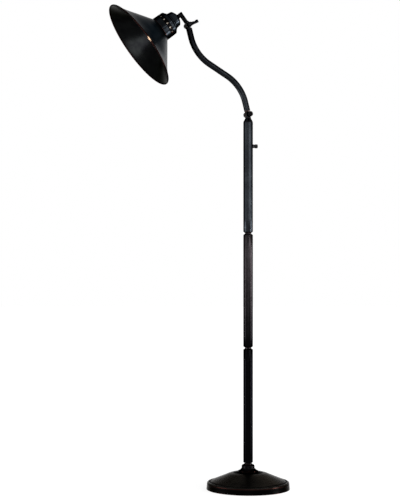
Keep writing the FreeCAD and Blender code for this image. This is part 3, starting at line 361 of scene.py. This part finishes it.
def curvedLine(points, steps):
    line = [Vector(points[0][:2])]
    for start, end in zip(points, points[1:]):
        a = Vector(start[:2])
        b = Vector(end[:2])
        share = start[2] if len(start) > 2 else 0
        if share:
            chord = b - a
            radius = abs(share) * chord.length
            toCentre = Vector((-chord.y, chord.x)).normalized() * math.copysign(1, share)
            centre = (a + b) / 2 + toCentre * math.sqrt(max(radius ** 2 - chord.length ** 2 / 4, 0))
            spoke = a - centre
            sweep = math.copysign(2 * math.asin(min(1, 0.5 / abs(share))), share)
            for i in range(1, steps):
                line.append(centre + spoke @ Matrix.Rotation(-sweep * i / steps, 2))
        line.append(b)
    return line


# rounds a corner over the reach on each side, and leaves it where a run is short or the line nearly straight
softenRule = {"shortest": 0.02, "straight": 165, "most": 0.45}


def softenLine(line, reach):
    soft = [line[0]]
    straight = math.radians(softenRule["straight"])
    for before, point, after in zip(line, line[1:], line[2:]):
        back = before - point
        on = after - point
        if min(back.length, on.length) < softenRule["shortest"] or back.angle(on) > straight:
            soft.append(point)
            continue
        first = point + back.normalized() * min(reach, back.length * softenRule["most"])
        last = point + on.normalized() * min(reach, on.length * softenRule["most"])
        soft += [first, (first + point * 2 + last) / 4, last]
    return soft + [line[-1]]


# gives an open line a wall on its left, and closes it; the mitre keeps sharp corners from running away
def wallLine(outer, wall, mitre=0.6):
    inner = []
    for i, point in enumerate(outer):
        into = point - outer[i - 1] if i else outer[1] - point
        on = outer[i + 1] - point if i + 1 < len(outer) else into
        way = (into.normalized() + on.normalized()).normalized()
        normal = Vector((-way.y, way.x))
        across = Vector((-on.y, on.x)).normalized()
        inner.append(point + normal * wall / max(normal.dot(across), mitre))
    return outer + inner[::-1] + [outer[0]]


def outlineOf(shape):
    line = softenLine(curvedLine(shape["outline"], shape["steps"]), shape["soften"])
    return wallLine(line, shape["wall"]) if "wall" in shape else line


def turnedPiece(name, line, sides):
    deselectAll()
    bpy.ops.mesh.primitive_plane_add(size=10 * mm)
    piece = bpy.context.object
    piece.name = name
    piece.data.name = name
    bpy.ops.object.mode_set(mode="EDIT")
    bpy.ops.mesh.merge(type="CENTER")
    bpy.ops.transform.translate(value=(line[0].x * mm, 0, line[0].y * mm))
    for start, end in zip(line, line[1:]):
        step = end - start
        bpy.ops.mesh.extrude_vertices_move(TRANSFORM_OT_translate={"value": (step.x * mm, 0, step.y * mm)})
    bpy.ops.mesh.select_all(action="SELECT")
    bpy.ops.mesh.spin(steps=sides, angle=math.tau, center=(0, 0, 0), axis=(0, 0, 1))
    bpy.ops.mesh.select_all(action="SELECT")
    bpy.ops.mesh.remove_doubles(threshold=mergeReach)
    bpy.ops.mesh.normals_make_consistent(inside=False)
    bpy.ops.object.mode_set(mode="OBJECT")
    return piece


def cutAway(piece, cutter):
    takeUp(piece)
    cut = piece.modifiers.new("cut", "BOOLEAN")
    cut.object = cutter
    bpy.ops.object.modifier_apply(modifier=cut.name)
    bpy.data.objects.remove(cutter)


def settle(piece, place):
    takeUp(piece)
    piece.matrix_world = place @ piece.matrix_world
    bpy.ops.object.transform_apply(location=True, rotation=True, scale=True)


def finishPiece(piece, body, node, finishes, place=upright, angle=35):
    settle(piece, place)
    bpy.ops.object.shade_smooth_by_angle(angle=math.radians(angle))
    for finish in finishes:
        piece.data.materials.append(finish)
    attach(piece, body)
    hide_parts(node)


# base: spun cover with its bead, cove and skirt, and a hole for the cord in its back
baseShape = {
    "outline": [(127, 1), (125.4, 17.5, 0.74), (121.4, 23.2, 3.2), (116.9, 22.6, -1.05), (112.4, 26.0),
                (67.9, 44.2, 3.2), (45.9, 51.4), (29.9, 55.2), (6.05, 55.2)],
    "steps": 10, "soften": 0.8, "wall": 1.2, "sides": 160,
    "holeRadius": 5.1, "holeHeight": 8.0, "holePlace": 126, "drillLength": 20, "drillSides": 32,
    "cove": (114.2, 119.2), "coveAbove": 21.0, "bead": 124.1, "beadEdge": (15.8, 19.2), "crown": 43.0,
    "smooth": 40,
}
spunBase = turnedPiece("spun_base", outlineOf(baseShape), baseShape["sides"])
bpy.ops.mesh.primitive_cylinder_add(
    vertices=baseShape["drillSides"], radius=baseShape["holeRadius"] * mm,
    depth=baseShape["drillLength"] * mm, rotation=(math.radians(90), 0, 0),
    location=(0, baseShape["holePlace"] * mm, baseShape["holeHeight"] * mm),
)
cutAway(spunBase, bpy.context.object)
for face in spunBase.data.polygons:
    fromAxis = math.hypot(face.center.x, face.center.y) / mm
    height = face.center.z / mm
    if baseShape["cove"][0] < fromAxis < baseShape["cove"][1] and height > baseShape["coveAbove"]:
        face.material_index = 1  # the cove, painted darker as shade
    elif fromAxis > baseShape["bead"] and baseShape["beadEdge"][0] < height < baseShape["beadEdge"][1]:
        face.material_index = 2  # the bead's lower edge, rubbed to red
    elif fromAxis < baseShape["crown"]:
        face.material_index = 3  # the crown round the collar's foot, painted darker as shade
finishPiece(spunBase, "stand", "base_cover",
            [baseLacquer, coveShadeLacquer, beadLacquer, crownShadeLacquer], angle=baseShape["smooth"])

# collar: a trumpet flare on the cover, with the neck that the lowest tube stands over
collarShape = {
    "outline": [(10.4, 55.3), (31, 55.3), (31, 56.4, -1.6), (19.7, 65.0), (19.6, 70.7, 0.72), (12.9, 75.9),
                (11.6, 75.9), (11.6, 81.9), (10.4, 81.9), (10.4, 55.3)],
    "steps": 10, "soften": 0.4, "sides": 96,
}
trumpetCollar = turnedPiece("trumpet_collar", outlineOf(collarShape), collarShape["sides"])
finishPiece(trumpetCollar, "stand", "base_collar", [collarLacquer])

# cord bushing: a grooved grommet in the cover's hole, made along its own axis
bushingShape = {
    "outline": [(3.3, -2.9), (6.6, -2.9), (6.8, -2.5), (6.8, -1.2), (5.0, -1.2), (5.0, 0.7), (6.8, 0.7),
                (6.4, 2.0, 0.9), (3.3, 2.5), (3.3, -2.9)],
    "steps": 5, "soften": 0.3, "sides": 40, "fromAxis": 125.9,
}
cordBushing = turnedPiece("cord_bushing_grommet", outlineOf(bushingShape), bushingShape["sides"])
bushingPlace = Matrix.Translation((0, bushingShape["fromAxis"] * mm, baseShape["holeHeight"] * mm))
finishPiece(cordBushing, "stand", "cord_bushing", [rubber],
            bushingPlace @ Matrix.Rotation(-math.radians(90), 4, "X"))
print("base made")


# column: three tubes with tapered ends that meet over dark necks
columnShape = {
    "radius": 14.6, "bore": 13.2, "neck": 10.0, "taper": 4.0, "shoulder": (0.6, 0.9), "chamfer": 0.5,
    "lip": 0.4, "mouth": 6.0, "rings": 8, "sides": 96,
}


# a tube's end, from its lip inside to its full radius; inwards is 1 at the foot and -1 at the top
def tubeEnd(end, inwards, tapered):
    radius = columnShape["radius"]
    lip = end + columnShape["lip"] * inwards
    if not tapered:
        return [(columnShape["bore"], lip), (columnShape["bore"], end),
                (radius - columnShape["chamfer"], end), (radius, end + columnShape["chamfer"] * inwards)]
    narrow, low = columnShape["shoulder"]
    return [(columnShape["neck"], lip), (columnShape["neck"], end),
            (radius - narrow, end + (columnShape["taper"] - low) * inwards),
            (radius, end + columnShape["taper"] * inwards)]


def columnTube(name, node, lacquer, footTapered=True, topTapered=True):
    lowest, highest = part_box(node)
    foot = round(lowest.z / mm, 3)
    top = round(highest.z / mm, 3)
    footEnd = tubeEnd(foot, 1, footTapered)
    topEnd = tubeEnd(top, -1, topTapered)
    rings = columnShape["rings"]
    line = footEnd[1:]
    line += [(columnShape["radius"], foot + (top - foot) * i / rings) for i in range(1, rings)]
    line += topEnd[::-1]
    line.append((columnShape["bore"], top - columnShape["mouth"]))
    line.append((columnShape["bore"], foot + columnShape["mouth"]))
    line += footEnd[:2]
    tube = turnedPiece(name, [Vector(point) for point in line], columnShape["sides"])
    finishPiece(tube, "stand", node, [lacquer])


columnTube("column_lower_tube", "lower_tube", lowTubeLacquer, footTapered=False)
columnTube("column_middle_tube", "middle_tube", lowTubeLacquer)
columnTube("column_upper_tube", "upper_tube", tubeLacquer, topTapered=False)

# shoulder: a cone that closes the upper tube under the swivel lug
shoulderShape = {
    "outline": [(8.6, 1130.7), (6, 1130.7), (6, 1118.6), (14.2, 1118.6), (14.6, 1119), (14.6, 1119.5),
                (8.6, 1130.7)],
    "steps": 6, "soften": 0.4, "sides": 96,
}
columnShoulder = turnedPiece("column_shoulder", outlineOf(shoulderShape), shoulderShape["sides"])
finishPiece(columnShoulder, "stand", "column_cap", [fittingLacquer])
print("column made")


# shade: spun cone with a flatter brim and a rolled rim, along the shade's axis from the cap
shadeShape = {
    "outline": [(37.0, 74.4), (37.0, 82.3), (38.6, 82.3), (60, 99.54), (85, 119.69), (104, 135.0, -6.7),
                (139.65, 159.98)],
    "steps": 12, "soften": 0.5, "wall": 1.0, "sides": 192,
    "rim": (140.7, 161.8), "bead": 2.1, "beadSlack": 0.1, "roll": range(-100, 181, 20),  # degrees round it
}
shadeWall = outlineOf(shadeShape)
brim = len(shadeWall) // 2  # the outer face's points come first, then as many of the inner face
beadCentre = Vector(shadeShape["rim"])
rimBead = []
for degrees in shadeShape["roll"]:
    around = math.radians(degrees)
    rimBead.append(beadCentre + Vector((math.cos(around), math.sin(around))) * shadeShape["bead"])
spunShade = turnedPiece("spun_shade", shadeWall[:brim] + rimBead + shadeWall[brim:], shadeShape["sides"])
beadReach = (shadeShape["bead"] + shadeShape["beadSlack"]) * mm
for face in spunShade.data.polygons:
    fromAxis = math.hypot(face.center.x, face.center.y)
    if math.hypot(fromAxis - beadCentre.x * mm, face.center.z - beadCentre.y * mm) < beadReach:
        face.material_index = 2  # the rolled rim: brown wear, and the painted glint
    elif face.normal.x * face.center.x + face.normal.y * face.center.y < 0:
        face.material_index = 1  # the inside, a darker copy of the lacquer as painted shade
finishPiece(spunShade, "head", "shade", [shadeLacquer, shadedInnerLacquer, rimLacquerWithGlint], headPlace)

# vented drum: crimped lip over the cap, then a ring of round vents in a flat black band
drumShape = {
    "outline": [(29.3, 40.15), (30.65, 40.15, 0.95), (32.25, 41.7), (35.8, 44.6, 0.95), (37.4, 46.2),
                (37.8, 53.8), (38.2, 66.6), (38.6, 82.2)],
    "steps": 6, "soften": 0.3, "wall": 1.2, "sides": 180, "band": 6.4,
    "vents": 15, "ventRadius": 2.9, "ventHeight": 60.2, "ventTurn": -85,
    "punchPlace": 37.5, "punchLength": 12, "punchSides": 28,
}
ventedDrum = turnedPiece("vented_drum", outlineOf(drumShape), drumShape["sides"])
punches = []
for i in range(drumShape["vents"]):
    around = math.radians(drumShape["ventTurn"] + i * 360 / drumShape["vents"])
    deselectAll()
    bpy.ops.mesh.primitive_cylinder_add(
        vertices=drumShape["punchSides"], radius=drumShape["ventRadius"] * mm,
        depth=drumShape["punchLength"] * mm, rotation=(0, math.radians(90), around),
        location=(math.cos(around) * drumShape["punchPlace"] * mm,
                  math.sin(around) * drumShape["punchPlace"] * mm, drumShape["ventHeight"] * mm),
    )
    punches.append(bpy.context.object)
deselectAll()
for punch in punches:
    punch.select_set(True)
bpy.context.view_layer.objects.active = punches[0]
bpy.ops.object.join()
cutAway(ventedDrum, bpy.context.object)
for face in ventedDrum.data.polygons:
    if abs(face.center.z / mm - drumShape["ventHeight"]) < drumShape["band"]:
        face.material_index = 1  # the band that the vents are punched in
finishPiece(ventedDrum, "head", "vent_collar", [drumLacquer, ventLacquer], headPlace)

# bell cap behind the drum
bellShape = {
    "outline": [(6.6, 12.0), (8.6, 12.0, 3.2), (21.5, 19.2, 0.95), (24.6, 24.2), (26.2, 35.2), (29.2, 38.2),
                (29.2, 44.6)],
    "steps": 8, "soften": 0.5, "wall": 1.2, "sides": 128,
}
bellCap = turnedPiece("bell_cap", outlineOf(bellShape), bellShape["sides"])
finishPiece(bellCap, "head", "shade_cap", [capLacquer], headPlace)
print("shade made")


# lamp holder: a stepped phenolic body with a well for the bulb's screw
holderShape = {
    "outline": [(5.5, 27), (19.2, 27), (19.2, 47), (22.4, 47), (22.4, 50), (18.4, 50), (18.4, 66),
                (13.85, 66), (13.85, 41.3), (9.0, 41.3), (9.0, 38), (2.5, 38), (2.5, 33), (5.5, 33),
                (5.5, 27)],
    "steps": 1, "soften": 0.6, "sides": 72,
}
lampHolder = turnedPiece("lamp_holder_body", outlineOf(holderShape), holderShape["sides"])
finishPiece(lampHolder, "head", "lamp_holder", [phenolic], headPlace)

# screw shell: thin brass rolled into a wave of the thread's pitch
shellShape = {"radius": 13.42, "roll": 0.1, "pitch": 3.5, "wall": 0.25, "foot": 41.35, "length": 21.6,
              "steps": 48, "sides": 64}
shellLine = []
for i in range(shellShape["steps"] + 1):
    along = shellShape["length"] * i / shellShape["steps"]
    wave = shellShape["roll"] * math.cos(math.tau * along / shellShape["pitch"])
    shellLine.append(Vector((shellShape["radius"] + wave, shellShape["foot"] + along)))
screwShell = turnedPiece("screw_shell_thread", wallLine(shellLine, -shellShape["wall"]), shellShape["sides"])
finishPiece(screwShell, "head", "screw_shell", [brass], headPlace)

# light baffle: a thin enamelled cup that stands behind the vents
baffleShape = {
    "outline": [(18.5, 50.05), (33.2, 50.05, 0.7072), (34.4, 51.2), (34.4, 75.0), (33.6, 75.0),
                (33.6, 51.9), (32.8, 50.85), (18.5, 50.85), (18.5, 50.05)],
    "steps": 4, "soften": 0.25, "sides": 96,
}
baffleCup = turnedPiece("light_baffle_cup", outlineOf(baffleShape), baffleShape["sides"])
finishPiece(baffleCup, "head", "light_baffle", [creamEnamel], headPlace)
print("lamp holder made")


# arm tube: straight, bend, straight, bend back, straight
armShape = {"radius": 9.25, "wall": 1.4, "start": 11.6, "straight": 26.4, "bend": 44.25, "bendRadius": 128.8,
            "run": 65.3, "sides": 64, "bendSteps": 24}
bend = math.radians(armShape["bend"])
rise = (0, 0, armShape["straight"] * mm)
slant = Vector((-math.sin(bend), 0, math.cos(bend))) * armShape["run"] * mm
outward = Vector((math.cos(bend), 0, math.sin(bend))) * armShape["bendRadius"] * mm
centreOne = Vector((-armShape["bendRadius"], 0, armShape["start"] + armShape["straight"])) * mm
centreTwo = centreOne + outward + slant + outward
deselectAll()
bpy.ops.mesh.primitive_circle_add(vertices=armShape["sides"], radius=armShape["radius"] * mm,
                                  location=(0, 0, armShape["start"] * mm))
armTube = bpy.context.object
armTube.name = "bent_arm"
bpy.ops.object.mode_set(mode="EDIT")
bpy.ops.mesh.extrude_region_move(TRANSFORM_OT_translate={"value": rise})
bpy.ops.mesh.spin(steps=armShape["bendSteps"], angle=bend, center=centreOne, axis=(0, 1, 0))
bpy.ops.mesh.extrude_region_move(TRANSFORM_OT_translate={"value": slant})
bpy.ops.mesh.spin(steps=armShape["bendSteps"], angle=bend, center=centreTwo, axis=(0, -1, 0))
bpy.ops.mesh.extrude_region_move(TRANSFORM_OT_translate={"value": rise})
bpy.ops.mesh.select_all(action="SELECT")
bpy.ops.mesh.remove_doubles(threshold=mergeReach)
bpy.ops.mesh.normals_make_consistent(inside=False)
bpy.ops.object.mode_set(mode="OBJECT")
armWall = armTube.modifiers.new("wall", "SOLIDIFY")
armWall.thickness = armShape["wall"] * mm
armWall.offset = -1
bpy.ops.object.modifier_apply(modifier=armWall.name)
finishPiece(armTube, "arm", "arm_tube", [armLacquer], armPlace)
print("arm made")


# knuckle castings, clamps and the switch knob: copies of the CAD's forms with their edges eased, lacquered
# as the other fittings are where no finish is given
softRule = {"merge": 0.01, "flat": 1, "corner": 32, "segments": 2}
softPieces = [
    {"name": "column_lug", "node": "column_swivel", "body": "stand", "edge": 0.6},
    {"name": "arm_lower_lug", "node": "arm_lower_swivel", "body": "arm", "edge": 0.6,
     "finish": [lugLacquerWithGlint]},
    {"name": "arm_upper_lug", "node": "arm_upper_swivel", "body": "arm", "edge": 0.6},
    {"name": "elbow_casting", "node": "shade_elbow", "body": "head", "edge": 0.6, "finish": [elbowLacquer]},
    {"name": "thumb_knob", "node": "clamp_knob", "body": "arm_clamp", "edge": 0.5, "finish": [knobLacquer]},
    {"name": "thumb_lever", "node": "tilt_lever", "body": "head_clamp", "edge": 0.6,
     "finish": [knobLacquer]},
    {"name": "lower_bolt", "node": "lower_clamp_bolt", "body": "arm", "edge": 0.3,
     "finish": [knobLacquer, lugLacquerWithGlint]},
    {"name": "upper_bolt", "node": "upper_clamp_bolt", "body": "arm", "edge": 0.3},
    {"name": "dial", "node": "switch_knob", "body": "switch_dial", "edge": 0.3,
     "finish": [switchNylon], "slot": "black_plastic"},
]


def softenedCopy(name, node, width):
    piece = nodes[node].copy()
    piece.data = nodes[node].data.copy()
    piece.name = name
    piece.data.name = name
    piece.parent = None
    piece.data.materials.clear()
    for key in list(piece.keys()):
        del piece[key]
    bpy.context.scene.collection.objects.link(piece)
    takeUp(piece)
    bpy.ops.object.mode_set(mode="EDIT")
    bpy.ops.mesh.select_all(action="SELECT")
    bpy.ops.mesh.remove_doubles(threshold=softRule["merge"] * mm)
    bpy.ops.mesh.dissolve_limited(angle_limit=math.radians(softRule["flat"]))
    bpy.ops.object.mode_set(mode="OBJECT")
    edge = piece.modifiers.new("softEdge", "BEVEL")
    edge.width = width
    edge.segments = softRule["segments"]
    edge.limit_method = "ANGLE"
    edge.angle_limit = math.radians(softRule["corner"])
    bpy.ops.object.modifier_apply(modifier=edge.name)
    return piece


# the lever's blade is fuller at its root than the CAD's, and its tip a little taller
leverShape = {"angle": 22, "clear": 2.0, "reach": 7.3, "root": 1.45, "tipReach": 18, "tip": 1.2, "end": 40}
leverPlace = Matrix.Translation(pivotHigh) @ Matrix.Rotation(-math.radians(leverShape["angle"]), 4, "Y")


def fuller(piece, low, high, growth):
    bpy.ops.object.mode_set(mode="EDIT")
    bpy.ops.mesh.select_mode(type="VERT")
    bpy.ops.mesh.select_all(action="DESELECT")
    bpy.ops.object.mode_set(mode="OBJECT")
    for vertex in piece.data.vertices:
        vertex.select = low * mm < vertex.co.x <= high * mm and abs(vertex.co.z) > leverShape["clear"] * mm
    bpy.ops.object.mode_set(mode="EDIT")
    bpy.ops.transform.resize(value=(1, 1, growth), center_override=(0, 0, 0))
    bpy.ops.object.mode_set(mode="OBJECT")


for each in softPieces:
    piece = softenedCopy(each["name"], each["node"], each["edge"] * mm)
    if each["name"] == "thumb_lever":
        settle(piece, leverPlace.inverted())
        fuller(piece, leverShape["reach"], leverShape["tipReach"], leverShape["root"])
        fuller(piece, leverShape["tipReach"], leverShape["end"], leverShape["tip"])
        settle(piece, leverPlace)
    if each["name"] == "lower_bolt":
        for face in piece.data.polygons:
            face.material_index = 1 if face.center.y > 0 else 0  # only the head, on the far side, is rubbed brown and lightened as a painted highlight
    finishPiece(piece, each["body"], each["node"],
                each.get("finish", [fittingLacquer]), angle=softRule["corner"])
print("fittings made")


# CAD nodes that stay, each with the finish of the real part
keptFinishes = {
    "felt_pad": felt, "base_weight": castIron,
    "base_washer": zincSteel, "base_nut": zincSteel, "base_rod": zincSteel,
    "lower_coupler": fittingLacquer, "upper_coupler": fittingLacquer,
    "switch_body": phenolic, "switch_ring_nut": oxideSteel, "shade_ring": phenolic,
    "lower_friction_disc": fibre, "upper_friction_disc": fibre,
    "lower_clamp_washer": oxideSteel, "upper_clamp_washer": oxideSteel,
    "lower_head_washer": oxideSteel, "upper_head_washer": oxideSteel,
    "cap_nipple": brass, "cap_locknut": brass, "terminal_screws": brass, "centre_contact": brass,
}
for node, material in keptFinishes.items():
    slots = nodes[node].data.materials
    slots.clear()
    slots.append(material)
print("finishes set")


# floor and world: white for the camera, reflections and glass, and darker as light on the lamp
stageLook = {
    "radius": 14, "drop": 0.0002, "sides": 96, "white": "ffffff", "paper": "818181",
    "fade": (0.3, 1.6), "glow": (0.86, 1.05), "fill": 0.25,
}


# 1 for what the camera, a reflection or a pane of glass sees, and 0 for light that falls on the lamp
def addSeen(tree):
    path = addNode(tree, "ShaderNodeLightPath")
    viewed = addNode(tree, "ShaderNodeMath", {"operation": "MAXIMUM"},
                     links={0: path.outputs["Is Camera Ray"], 1: path.outputs["Is Glossy Ray"]})
    return addNode(tree, "ShaderNodeMath", {"operation": "MAXIMUM"},
                   links={0: viewed.outputs[0], 1: path.outputs["Is Transmission Ray"]})


# Pale studio paper: a soft white that glows a little less round the base, and takes the lamp's shadow.
def makeFloorMaterial():
    material, tree = newMaterial("palePaperFloor")
    place = addNode(tree, "ShaderNodeTexCoord")
    reach = addNode(tree, "ShaderNodeVectorMath", {"operation": "LENGTH"},
                    links={0: place.outputs["Object"]})
    fade = addNode(tree, "ShaderNodeMapRange", {},
                   {"From Min": stageLook["fade"][0], "From Max": stageLook["fade"][1],
                    "To Min": stageLook["glow"][0], "To Max": stageLook["glow"][1]},
                   {"Value": reach.outputs["Value"]})
    seen = addSeen(tree)
    strength = addNode(tree, "ShaderNodeMath", {"operation": "MULTIPLY"},
                       links={0: seen.outputs[0], 1: fade.outputs[0]})
    glow = addNode(tree, "ShaderNodeEmission", {}, {"Color": linearColour(stageLook["white"])},
                   {"Strength": strength.outputs[0]})
    paper = addNode(tree, "ShaderNodeBsdfDiffuse", {}, {"Color": linearColour(stageLook["paper"])})
    both = addNode(tree, "ShaderNodeAddShader", links={0: glow.outputs[0], 1: paper.outputs[0]})
    closeMaterial(tree, both)
    return material


deselectAll()
bpy.ops.mesh.primitive_circle_add(vertices=stageLook["sides"], radius=stageLook["radius"], fill_type="NGON",
                                  location=(0, 0, -stageLook["drop"]))
floor = bpy.context.object
floor.name = "pale_floor"
floor.data.materials.append(makeFloorMaterial())

world = bpy.data.worlds.new("paleStudio")
bpy.context.scene.world = world
world.use_nodes = True
world.node_tree.nodes.clear()
level = addNode(world.node_tree, "ShaderNodeMapRange", {}, {"To Min": stageLook["fill"], "To Max": 1.0},
                {"Value": addSeen(world.node_tree).outputs[0]})
sky = addNode(world.node_tree, "ShaderNodeBackground", {}, {"Color": linearColour(stageLook["white"])},
              {"Strength": level.outputs[0]})
addNode(world.node_tree, "ShaderNodeOutputWorld", links={"Surface": sky.outputs[0]})

# each softbox: where it stands, what it faces, its width and height, and its brightness against white
softLights = {
    "right_softbox": {"place": (0.776, -1.4, 1.02), "aim": (0, 0, 1.02), "size": (1.1, 0.62), "level": 7},
    "side_softbox": {"place": (2.0, -0.94, 0.55), "aim": (-0.2, 0, 1.4), "size": (0.5, 0.6), "level": 28},
    "neck_softbox": {"place": (1.46, -0.69, 0.17), "aim": (-0.26, -0.03, 1.37), "size": (0.46, 0.46),
                     "level": 38},
    "left_softbox": {"place": (-1.55, -0.56, 1.05), "aim": (0, 0, 1.0), "size": (0.7, 0.9), "level": 3.4},
    "low_softbox": {"place": (-1.77, 0.05, 0.27), "aim": (-0.3, 0, 1.34), "size": (0.9, 0.6), "level": 13},
    "front_softbox": {"place": (-1.46, -4.78, 0.95), "aim": (0, 0, 0.85), "size": (1.6, 1.6), "level": 4.5},
    "back_softbox": {"place": (1.44, 1.63, 1.88), "aim": (-0.28, -0.09, 1.32), "size": (1.0, 0.88),
                     "level": 2.2},
    "key_softbox": {"place": (0.63, -2.41, 1.89), "aim": (-0.3, 0, 1.34), "size": (0.35, 0.35), "level": 20},
}
for name, softbox in softLights.items():
    spot = Vector(softbox["place"])
    aim = Vector(softbox["aim"]) - spot
    width, height = softbox["size"]
    bpy.ops.object.light_add(type="AREA", location=spot, rotation=aim.to_track_quat("-Z", "Y").to_euler())
    lamp = bpy.context.object
    lamp.name = name
    lamp.data.shape = "RECTANGLE"
    lamp.data.size = width
    lamp.data.size_y = height
    lamp.data.energy = softbox["level"] * math.pi * width * height
    lamp.visible_camera = False
print("stage lit")
